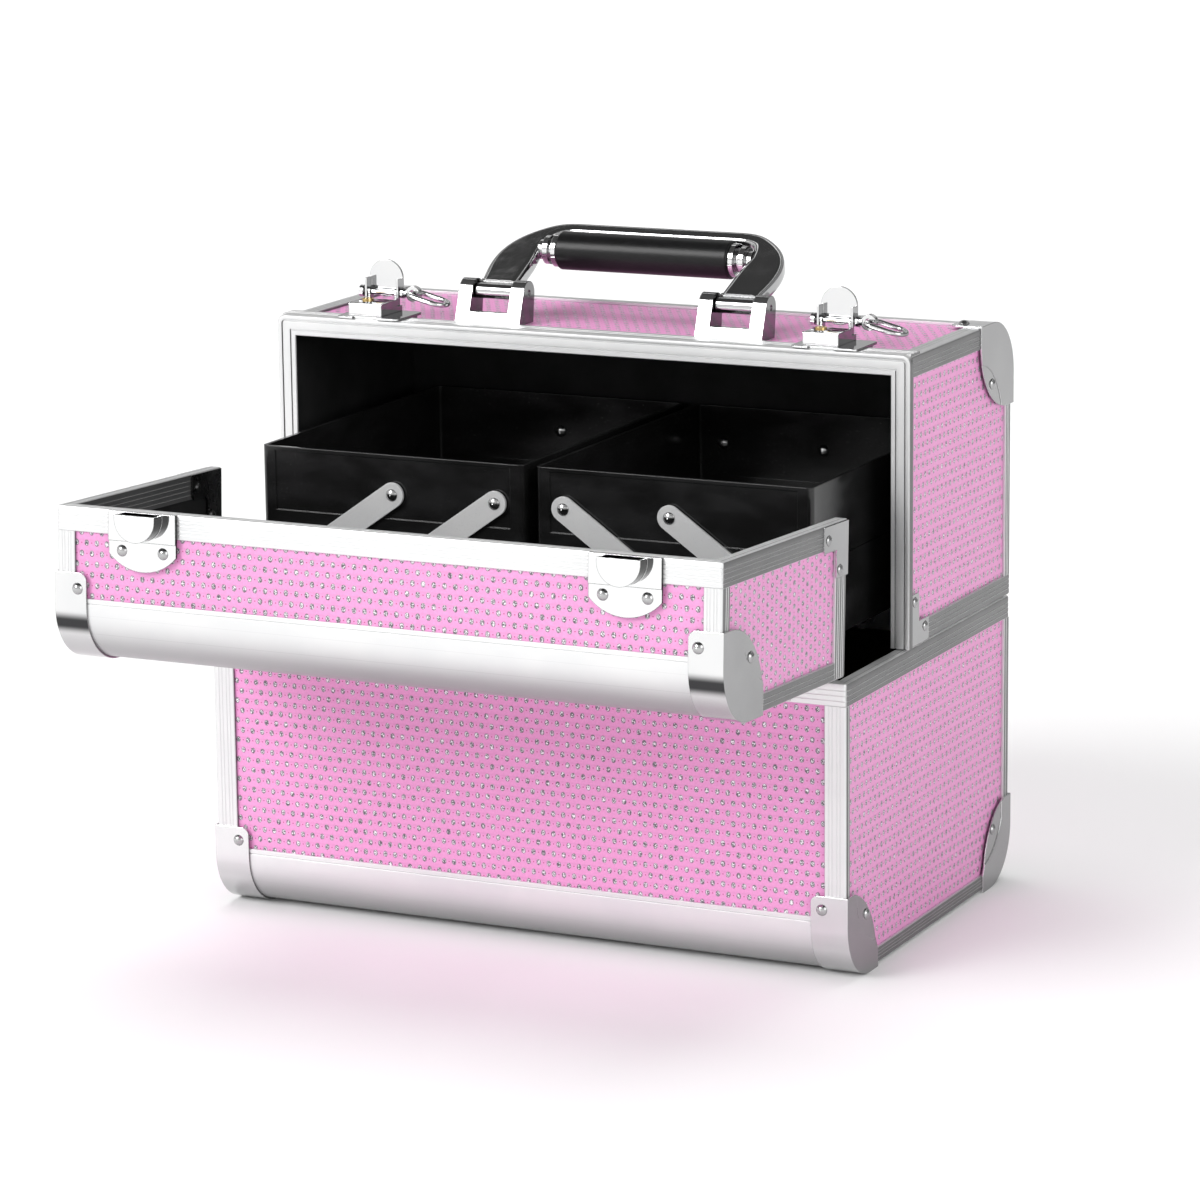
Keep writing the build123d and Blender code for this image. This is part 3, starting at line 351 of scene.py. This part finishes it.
# side, under, top and outline set how much painted shade falls on sideways, downward and upward faces and
# along edges
CHROME = chrome("chrome_plate")
CATCH = chrome("catch_plate", tone=0.92, rough=0.04, edge=0.6, side=0.04, under=0.92, outline=0.95)
LATCH = chrome("latch_plate", tone=0.90, edge=0.6, side=0.25, top=0.55, outline=0.9)
BAIL = chrome("dark_chrome", tone=0.55, rough=0.04, edge=0.6, side=0.8, under=0.0)
BLACK_STEEL = chrome("black_steel", tone=0.10, rough=0.22, edge=0.3, side=0.9, under=0.0)
# depth sets the strength of each cap's painted reflection band
LID_CAP = cap_steel("cap_steel_lid", depth=0.95)
BOX_CAP = cap_steel("cap_steel_box", depth=0.12)
RIVET = chrome("rivet_steel", tone=0.50, rough=0.14, edge=0.3, side=0.7, outline=0.9)
PINK = glitter_panel("glitter_panel")
PINK_LID = glitter_panel("glitter_panel_front_lid", LID_ANGLE)
VELVET = velvet("velvet_lining")
TRAY = gloss_plastic("tray_plastic")
GRIP = grip_plastic("grip_plastic")
BRASS = brass("key_brass")
# side and under set the painted shade on sideways and downward faces
RAIL = satin_aluminium("aluminium_rail")
PROFILE = satin_aluminium("aluminium_profile", grain=(0.0, 0.5, 0.5), tone=0.82, rough=0.36, side=1.0,
                          metallic=0.75, under=0.55)
ARM_METAL = satin_aluminium("arm_metal", grain=(1, 1, 1), tone=0.85, rough=0.38, side=1.0, metallic=0.35)

BY_SLOT = {
    "satin_aluminium": PROFILE,
    "chrome_plate": CHROME,
    "glitter_panel": PINK,
    "velvet_lining": VELVET,
    "black_tray": TRAY,
    "black_grip": GRIP,
    "brass_key": BRASS,
}
SPECIAL = {
    "handle_bail": BAIL,
    "front_lid_caps": LID_CAP,
    "front_lid_panels": PINK_LID,
    "rear_lid_caps": BOX_CAP,
    "box_corner_caps": BOX_CAP,
    "lid_catches": CATCH,
    "latch_bases": LATCH,
    "lock_bodies": LATCH,
    "handle_brackets": LATCH,
}
for entry in frame["record"]["subparts"]:
    node = nodes[entry["node"]]
    material = BY_SLOT[entry["material_slot"]]
    if "rivets" in node.name:
        material = RIVET
    if node.name.startswith("arms_"):
        material = ARM_METAL
    material = SPECIAL.get(node.name, material)
    node.data.materials.clear()
    node.data.materials.append(material)


# ---------------------------------------------------------------- ribbed aluminium rails
class Shape:
    """Collects swept rails, in millimetres, and makes one mesh object of them."""

    def __init__(self):
        self.points = []
        self.drawn = []
        self.faces = []

    def ring(self, points, along):
        """Add one closed outline and number its points across the rail."""
        across = 0.0
        for i, point in enumerate(points):
            if i:
                across += (Vector(point) - Vector(points[i - 1])).length
            self.points.append(tuple(point))
            self.drawn += (along, across, 0.0)

    def join(self, start, count, rings, loop=False):
        """Faces between rings of count points, with end caps unless the rings close on themselves."""
        pairs = [(i, i + 1) for i in range(rings - 1)]
        if loop:
            pairs.append((rings - 1, 0))
        for i, j in pairs:
            for k in range(count):
                n = (k + 1) % count
                a, b = start + i * count, start + j * count
                self.faces.append([a + k, a + n, b + n, b + k])
        if not loop:
            last = start + (rings - 1) * count
            self.faces.append([start + k for k in range(count)])
            self.faces.append([last + k for k in range(count)])

    def run(self, ends, section, place):
        """A straight length of a section; place turns (u, v, level) into 3-D."""
        start = len(self.points)
        for level in ends:
            self.ring([place(u, v, level) for u, v in section], level)
        self.join(start, len(section), len(ends))

    def sweep(self, stations, section, place, loop=False):
        """Carry a section along a rail_path; place turns a station's point and v into 3-D."""
        start, along, before = len(self.points), 0.0, None
        for at in stations:
            here = Vector(at(0))
            if before is not None:
                along += (here - before).length
            before = here
            self.ring([place(*at(u), v) for u, v in section], along)
        self.join(start, len(section), len(stations), loop)

    def dome(self, place, radius, height):
        """A domed rivet head on a flat face; place turns (u, v, height) into 3-D."""
        start, count, rings = len(self.points), 16, 5
        for k in range(rings):
            turn = math.pi / 2 * k / rings
            wide, tall = radius * math.cos(turn), height * math.sin(turn)
            angles = [math.tau * n / count for n in range(count)]
            self.ring([place(wide * math.cos(a), wide * math.sin(a), tall) for a in angles], tall)
        self.join(start, count, rings)

    def make(self, name, body, material, *stands_for, swing=NO_SWING, slot="satin_aluminium"):
        """One smooth mesh that moves with a body and may stand for CAD nodes."""
        mesh = bpy.data.meshes.new(name)
        mesh.from_pydata([(swing @ Vector(point)) * MM for point in self.points], [], self.faces)
        mesh.attributes.new("rail", "FLOAT_VECTOR", "POINT").data.foreach_set("vector", self.drawn)
        work = bmesh.new()
        work.from_mesh(mesh)
        bmesh.ops.remove_doubles(work, verts=work.verts, dist=0.00001)
        bmesh.ops.recalc_face_normals(work, faces=work.faces)
        work.to_mesh(mesh)
        work.free()
        mesh.shade_smooth()
        mesh.set_sharp_from_angle(angle=math.radians(28))
        mesh.materials.append(material)
        piece = bpy.data.objects.new(name, mesh)
        bpy.context.scene.collection.objects.link(piece)
        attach(piece, body)
        if stands_for:
            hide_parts(*stands_for)
        return piece


def straight(point, out):
    """A station at the end of a path, reaching outwards by u."""
    return lambda u: (point[0] + u * out[0], point[1] + u * out[1])


def bend(centre, radius, out, mitre):
    """A station on a rounded corner; whatever lies inside the corner's centre meets on the mitre."""
    def at(u):
        way = out if u > -radius else mitre
        return centre[0] + (radius + u) * way[0], centre[1] + (radius + u) * way[1]
    return at


def rail_path(points, radius, loop=False, steps=5):
    """Stations along square corners, with the outside of the case on the right of the path."""
    count = len(points)
    stations = []
    for i, point in enumerate(points):
        ways = []
        for a, b in ((i - 1, i), (i, i + 1)):
            if loop or (a >= 0 and b < count):
                run = (Vector(points[b % count]) - Vector(points[a % count])).normalized()
                ways.append((run.y, -run.x))
        if len(ways) == 1:
            stations.append(straight(point, ways[0]))
            continue
        first, last = ways
        mitre = (first[0] + last[0], first[1] + last[1])
        centre = (point[0] - radius * mitre[0], point[1] - radius * mitre[1])
        for k in range(steps + 1):
            turn = math.pi / 2 * k / steps
            out = tuple(math.cos(turn) * first[n] + math.sin(turn) * last[n] for n in (0, 1))
            stations.append(bend(centre, radius, out, mitre))
    return stations


def ribs(start, end, places, depth=0.3, half=0.3):
    """Heights along a face from start to end, with a rounded groove at each fraction of its width."""
    line = [(start, 0.0)]
    way = 1 if end > start else -1
    for fraction in places:
        middle = start + (end - start) * fraction
        for step, low in ((-1, 0), (-0.6, 0.7), (0, 1), (0.6, 0.7), (1, 0)):
            line.append((middle + way * step * half, -depth * low))
    return line + [(end, 0.0)]


def angle_section(wide, deep, ribs_wide=(), ribs_deep=(), corner=CORNER_R, thick=METAL):
    """An L of sheet metal with its corner at (0, 0): one leg runs to -u, the other to -v."""
    section = [(-wide, -thick), (-wide, -0.35)] + ribs(-wide + 0.35, -corner, ribs_wide, 0.17)
    for k in range(1, 5):
        turn = math.pi / 2 * k / 5
        section.append((-corner + corner * math.sin(turn), -corner + corner * math.cos(turn)))
    section += [(low, v) for v, low in ribs(-corner, -deep + 0.35, ribs_deep)]
    return section + [(-0.35, -deep), (-thick, -deep), (-thick, -thick)]


def band_section(low, high, places, lip, inner=0.0, thick=METAL):
    """A band facing +u between two levels of v, turned in by lip at its high edge, then back by inner."""
    way = 1 if high > low else -1
    section = [(-thick, low), (-0.35, low)]
    section += [(drop, v) for v, drop in ribs(low + way * 0.35, high - way * 1.1, places)]
    section += [(-0.33, high - way * 0.33), (-1.1, high)]
    section += [(-2.4, high), (-2.6, high - way * 0.3), (-2.8, high)]
    section += [(0.4 - lip, high), (-lip, high - way * 0.4)]
    if inner:
        down = ribs(high - way * 0.6, high - way * inner, (0.2, 0.4, 0.6, 0.8), 0.18)
        section += [(-lip - drop, v) for v, drop in down] + [(0.45 - lip, high - way * inner)]
        section.append((0.45 - lip, high - way * thick))
        return section + [(-thick, high - way * thick)]
    return section + [(-lip, high - way * thick), (-thick, high - way * thick)]


RIBS = (0.2, 0.38, 0.62, 0.8)       # where the grooves lie across a rail's face


def level_xy(x, y, v):
    """A path in plan, with v upwards."""
    return x, y, v


def upright_xz(x, z, v):
    """A path in a front view, with v rearwards."""
    return x, v, z


def box_rails():
    """The box's four corner posts and the rails under its sides."""
    shape = Shape()
    for side in SIDES:
        for rear, leg in ((-1, 4.5), (1, 7.5)):
            post = angle_section(12, leg, RIBS, (0.55,))
            shape.run((EDGE_STEP, BOX_RIM[0]), post,
                      lambda u, v, z: (side * (HALF_W + u), rear * (HALF_D + v), z))
        foot = angle_section(8.3, 12, (0.25, 0.5, 0.75), (0.3, 0.6))
        shape.run((-81.3, 81.3), foot, lambda u, v, y: (side * (HALF_W + v), y, 1.0 - u))
    shape.make("box_rails_ribbed", "case", RAIL, "box_frame_rails")


def box_rim():
    """The rail round the box's mouth."""
    corners = ((HALF_W, -HALF_D), (HALF_W, HALF_D), (-HALF_W, HALF_D), (-HALF_W, -HALF_D))
    shape = Shape()
    section = band_section(*BOX_RIM, (0.24, 0.5, 0.76), 7)
    shape.sweep(rail_path(corners, 2.5, True), section, level_xy, True)
    shape.make("box_rim_ribbed", "case", RAIL, "box_rim_frame")


def front_frame_section(front):
    """The rear lid's front frame: a narrow inner band, a broad one and a raised rounded rim."""
    face = [(-11, 1.5), (-11, 0.7), (-10.6, 0.3), (-8.6, 0.3), (-8.3, 0.9), (-7.9, 0.9), (-7.6, 0.25)]
    face += [(-5.6, 0.12), (-3.6, 0.25), (-3.3, 0.9), (-2.9, 0.9), (-2.6, 0.2), (-1.6, 0), (-0.6, 0.25)]
    face += [(-0.1, 1.0), (0, 2.0), (0, 3.5), (-0.4, 4.0), (-1.4, 4.0), (-1.4, 1.5)]
    return [(u, front + depth) for u, depth in face]


def rear_lid_rails():
    """The rear lid's mitred front frame, and its lower rail, posts and top side rails."""
    proud = 1.5
    top = LID_TOP + proud
    edge = HALF_W + proud
    low, high = REAR_LID_RAIL
    shape = Shape()
    path = rail_path(((edge, low), (edge, top), (-edge, top), (-edge, low)), 5, steps=7)
    shape.sweep(path, front_frame_section(REAR_LID_FRONT), upright_xz)
    grooves = [(-29.2, 0.0)] + ribs(-28.8, -17.6, (0.3, 0.62))
    roof = [(y, top - 0.05 + drop) for y, drop in grooves]
    roof += [(-17, top - 0.5), (-17, LID_TOP), (-29.2, LID_TOP)]
    shape.run((-HALF_W, HALF_W), roof, lambda y, z, x: (x, y, z))
    shape.make("rear_lid_front_frame_ribbed", "rear_lid", RAIL, "rear_lid_front_frame")

    shape = Shape()
    start = -30.9
    path = rail_path(((HALF_W, start), (HALF_W, HALF_D), (-HALF_W, HALF_D), (-HALF_W, start)), CORNER_R)
    shape.sweep(path, band_section(high, low, (0.25, 0.5, 0.75), 6.4), level_xy)
    for side in SIDES:
        post = angle_section(12, 7.5, RIBS, (0.35, 0.7))
        shape.run((high, PROFILE_START), post, lambda u, v, z: (side * (HALF_W + u), HALF_D + v, z))
        rail = angle_section(10, 11.2, (0.3, 0.6), (0.25, 0.5, 0.75))
        shape.run((-29, CAP_START), rail, lambda u, v, y: (side * (HALF_W + u), y, LID_TOP + v))
    shape.make("rear_lid_rails_ribbed", "rear_lid", RAIL, "rear_lid_frame")


def front_lid_rails():
    """The front lid's rim and lower rails, posts and top side rails, drawn shut."""
    low, high = FRONT_LID_RAIL
    rim = FRONT_LID_RIM
    shape = Shape()
    path = rail_path(((HALF_W, low), (HALF_W, LID_TOP), (-HALF_W, LID_TOP), (-HALF_W, low)), CORNER_R)
    shape.sweep(path, band_section(rim, FRONT_LID_REAR, RIBS, 7, 13), upright_xz)
    path = rail_path(((-HALF_W, rim), (-HALF_W, -HALF_D), (HALF_W, -HALF_D), (HALF_W, rim)), CORNER_R)
    shape.sweep(path, band_section(high, low, RIBS, 7), level_xy)
    for side in SIDES:
        post = angle_section(10, 9.2, RIBS, (0.3, 0.65))
        shape.run((high, PROFILE_START), post, lambda u, v, z: (side * (HALF_W + u), -HALF_D - v, z))
        rail = angle_section(10, 8, RIBS, (0.35, 0.7))
        shape.run((-CAP_START, rim), rail, lambda u, v, y: (side * (HALF_W + u), y, LID_TOP + v))
    shape.make("front_lid_rails_ribbed", "front_lid", RAIL, "front_lid_frame", swing=LID_SWING)


def edge_profile_section(side, low, rise):
    """A rounded corner profile in YZ, beaded near each edge; rise is +1 under the box, -1 on a lid."""
    radius, reach, thick = 29.0, EDGE_STEP, METAL
    outer = [(0, reach), (0, reach - 2.2), (0.4, reach - 2.5), (0, reach - 2.8)]
    for k in range(17):
        turn = math.pi / 2 * k / 16
        outer.append((radius * (1 - math.cos(turn)), radius * (1 - math.sin(turn))))
    outer += [(reach - 2.8, 0), (reach - 2.5, 0.4), (reach - 2.2, 0), (reach, 0), (reach, thick)]
    inside = radius - thick
    turns = [k * math.pi / 16 for k in range(8, -1, -1)]
    inner = [(radius - inside * math.cos(turn), radius - inside * math.sin(turn)) for turn in turns]
    return [(side * (HALF_D - y), low + rise * z) for y, z in outer + inner + [(thick, reach)]]


def edge_profiles():
    """The four rounded profiles along the case's long edges."""
    for name, body, side, low, rise, node, swing in (
            ("box_front_profile", "case", -1, 1.0, 1, "box_edge_profiles", NO_SWING),
            ("box_rear_profile", "case", 1, 1.0, 1, "box_edge_profiles", NO_SWING),
            ("front_lid_profile", "front_lid", -1, LID_TOP, -1, "front_lid_edge_profile", LID_SWING),
            ("rear_lid_profile", "rear_lid", 1, LID_TOP, -1, "rear_lid_edge_profile", NO_SWING)):
        shape = Shape()
        shape.run((-HALF_W, HALF_W), edge_profile_section(side, low, rise), lambda y, z, x: (x, y, z))
        shape.make(name + "_beaded", body, PROFILE, node, swing=swing)


def lid_corner_plates():
    """Dark L-shaped plates riveted inside the front lid, behind the corner brackets outside it."""
    rear, low = -34.0, 157.4
    inside, outside = 172.1, 172.95
    corner = [(0, 0), (-27, 0), (-27, 11), (-25, 14), (-15, 14), (-13, 16), (-13, 28), (-11, 30), (0, 30)]
    shape = Shape()
    for side in SIDES:
        shape.run((side * inside, side * outside), corner, lambda y, z, x: (x, rear + y, low + z))
        for y, z in ((rear - 7.1, low + 24.4), (rear - 23.3, low + 9.9)):
            shape.dome(lambda u, v, h: (side * (inside - h), y + u, z + v), 2.6, 1.4)
    shape.make("lid_corner_plates", "front_lid", BLACK_STEEL, swing=LID_SWING, slot="chrome_plate")


def rear_lid_inner_rivets():
    """Small rivet heads in a row on the inside of the rear lid's back wall."""
    wall, row = 106.0, 236.0
    shape = Shape()
    for x in (-143, -117, 117, 143):
        shape.dome(lambda u, v, h: (x + u, wall - h, row + v), 1.9, 0.9)
    shape.make("rear_lid_inner_rivets", "rear_lid", BLACK_STEEL, slot="chrome_plate")


lid_corner_plates()
rear_lid_inner_rivets()
box_rails()
box_rim()
rear_lid_rails()
front_lid_rails()
edge_profiles()


# ---------------------------------------------------------------- stage, light and camera
def stage_floor():
    """A plain floor 80 metres across, so that its edge is never seen."""
    r = 40.0
    mesh = bpy.data.meshes.new("floor")
    mesh.from_pydata([(-r, -r, 0), (r, -r, 0), (r, r, 0), (-r, r, 0)], [], [(0, 1, 2, 3)])
    floor = bpy.data.objects.new("floor", mesh)
    bpy.context.scene.collection.objects.link(floor)
    s = Surface("floor_white")
    tint = s.noise(s.coords(), 0.0004, 2)
    color = s.mix(tint, grey(0.93), grey(0.95))
    mesh.materials.append(s.set(Base_Color=color, Roughness=0.9, Specular_IOR_Level=0.1))


def sun_light(name, place, angle, strength, mirrored=True):
    """A soft light as wide as a large panel seen from the case, even over the whole floor."""
    data = bpy.data.lights.new(name, "SUN")
    data.angle, data.energy = math.radians(angle), strength
    light = bpy.data.objects.new(name, data)
    light.rotation_euler = (-Vector(place)).to_track_quat("-Z", "Y").to_euler()
    light.visible_glossy = mirrored
    bpy.context.scene.collection.objects.link(light)


def camera():
    """A long lens from the front right, a little above the case."""
    place = Vector((1058.23, -2210.85, 696.26)) * MM
    yaw, pitch, roll = 0.4495, 0.2156, -0.0112
    forward = Vector((-math.sin(yaw) * math.cos(pitch), math.cos(yaw) * math.cos(pitch), -math.sin(pitch)))
    level = Vector((math.cos(yaw), math.sin(yaw), 0))
    above = level.cross(forward)
    right = math.cos(roll) * level + math.sin(roll) * above
    up = -math.sin(roll) * level + math.cos(roll) * above
    data = bpy.data.cameras.new("camera")
    data.lens, data.sensor_width, data.clip_end = 142.44, 36.0, 200.0
    cam = bpy.data.objects.new("camera", data)
    turn = Matrix((right, up, -forward)).transposed().to_4x4()
    cam.matrix_world = Matrix.Translation(place) @ turn
    bpy.context.scene.collection.objects.link(cam)
    bpy.context.scene.camera = cam


def world():
    """White walls, brightest to the front left, under a dark ceiling, with one dark seam low round them."""
    w = bpy.data.worlds.new("studio")
    w.use_nodes = True
    s = Nodes(w.node_tree)
    way = s.add("ShaderNodeSeparateXYZ", {0: s.add("ShaderNodeTexCoord").outputs["Generated"]}).outputs
    lean = s.math("ADD", s.math("MULTIPLY", way[0], -0.62), s.math("MULTIPLY", way[1], -0.78))
    wall = s.step(lean, -0.3, 0.8, 0.55, 1.15)
    seam = s.step(s.math("ABSOLUTE", s.math("SUBTRACT", way[2], 0.26)), 0.02, 0.07)
    wall = s.math("MULTIPLY", wall, s.blend(seam, 0.12, 1.0))
    strip = s.step(s.math("ABSOLUTE", s.math("SUBTRACT", way[2], 0.70)), 0.05, 0.02)
    strength = s.blend(s.step(way[2], 0.42, 0.62), wall, s.blend(strip, 0.07, 1.3))
    back = s.tree.nodes["Background"]
    s.put(back.inputs[0], (1, 1, 1, 1))
    s.put(back.inputs[1], strength)
    bpy.context.scene.world = w


stage_floor()
world()
sun_light("key", (-1.7, -2.6, 2.0), 28, 1.75)
sun_light("top", (-0.3, 0.5, 2.7), 50, 1.55, False)
sun_light("side", (2.4, -1.1, 0.9), 40, 0.75)
camera()
bpy.context.scene.view_settings.view_transform = "Standard"
